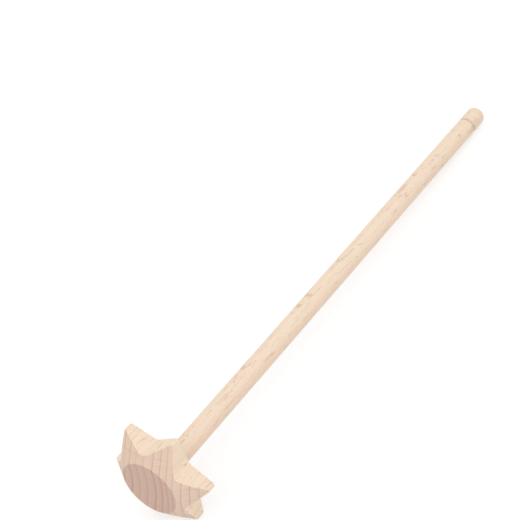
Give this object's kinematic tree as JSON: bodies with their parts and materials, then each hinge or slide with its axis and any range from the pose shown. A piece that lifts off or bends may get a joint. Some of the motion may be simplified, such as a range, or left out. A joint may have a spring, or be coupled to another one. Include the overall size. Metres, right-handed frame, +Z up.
{
  "type": "twirling whisk",
  "caption": "Wooden kitchen whisk: a star-shaped head with rounded notches, glued on the end of a long round handle.",
  "frame": {"origin": "on the table under the middle of the whisk's box, as it lies on two neighbouring star points and the handle's free end", "axes": "+X along the whisk towards the handle's free end, +Y across the head, +Z up; the handle's axis leans down by about 3.4 degrees towards +X"},
  "size_m": [0.3656, 0.062, 0.0546],
  "materials": {
    "head_wood": "sanded beech, bare",
    "handle_wood": "sanded beech, bare",
    "glue": "cured wood glue"
  },
  "bodies": {
    "root": {"head": "head_wood", "handle": "handle_wood", "glue_line": "glue"}
  },
  "joints": []
}
